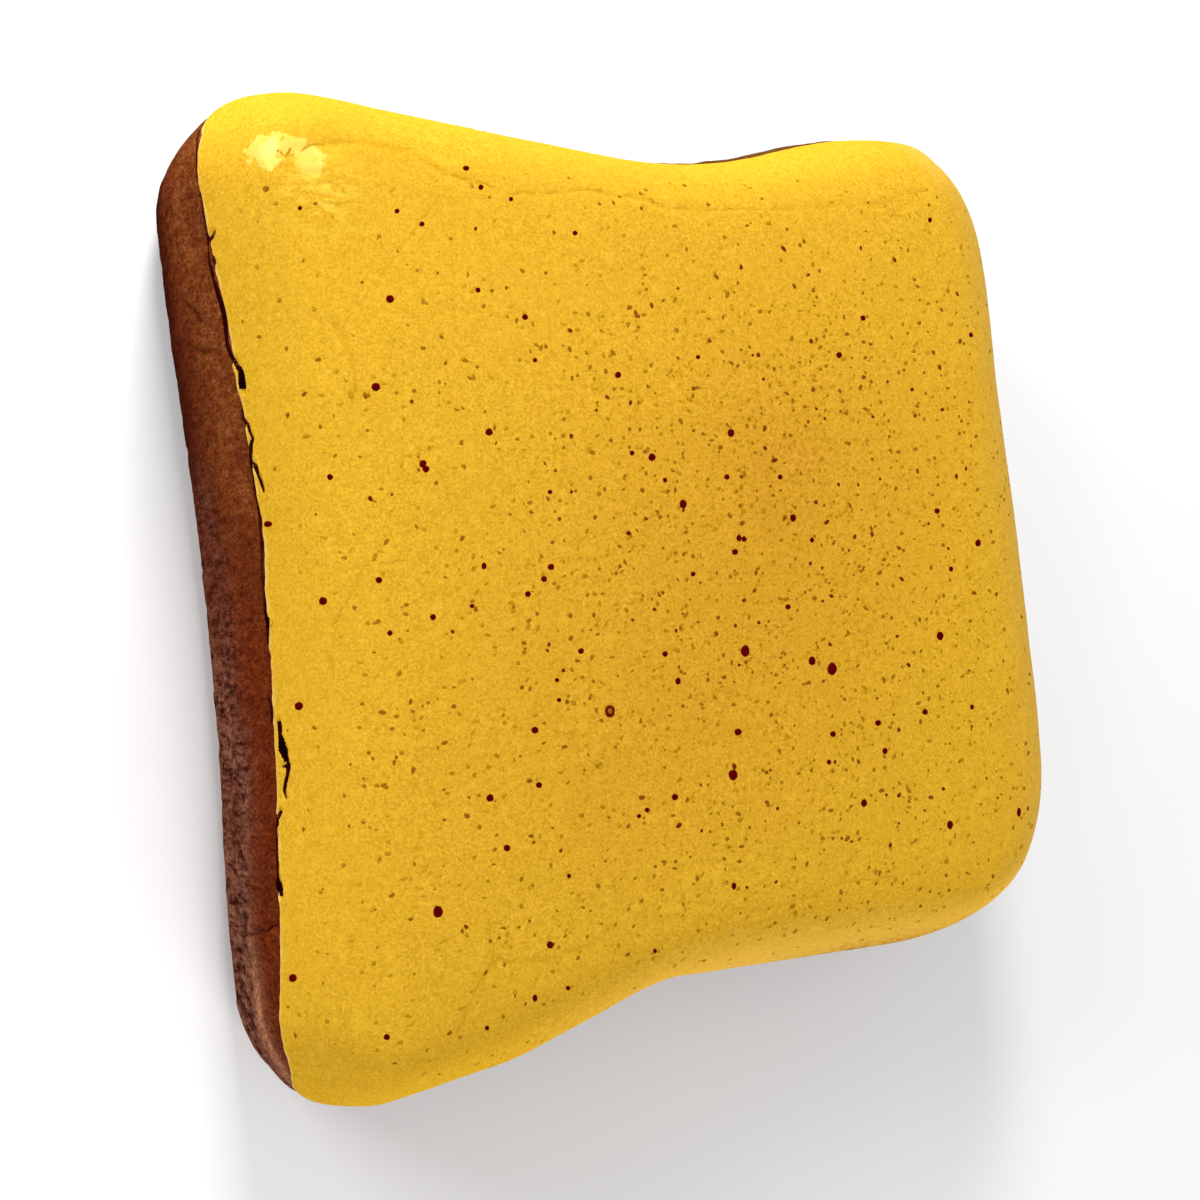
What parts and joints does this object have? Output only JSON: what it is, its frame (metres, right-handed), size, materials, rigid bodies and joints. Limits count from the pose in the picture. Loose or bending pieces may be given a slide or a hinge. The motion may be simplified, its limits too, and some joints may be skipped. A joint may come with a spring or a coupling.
{
  "type": "foam toy cheese toast",
  "caption": "Soft foam toy slice of cheese toast: a waisted, round-cornered brown bread body capped by a domed yellow cheese layer, lying on its flat back.",
  "frame": {"origin": "centre of the flat back, in the plane that the toy rests on", "axes": "+Z out of the yellow face, +Y towards the edge that is uppermost in the picture, +X towards the right edge in the picture"},
  "size_m": [0.0922, 0.0979, 0.028],
  "materials": {
    "bread_foam": "satin brown skin of soft foam",
    "cheese_foam": "satin to glossy yellow painted skin with fine dark drops"
  },
  "bodies": {
    "root": {"bread": "bread_foam", "cheese": "cheese_foam"}
  },
  "joints": []
}
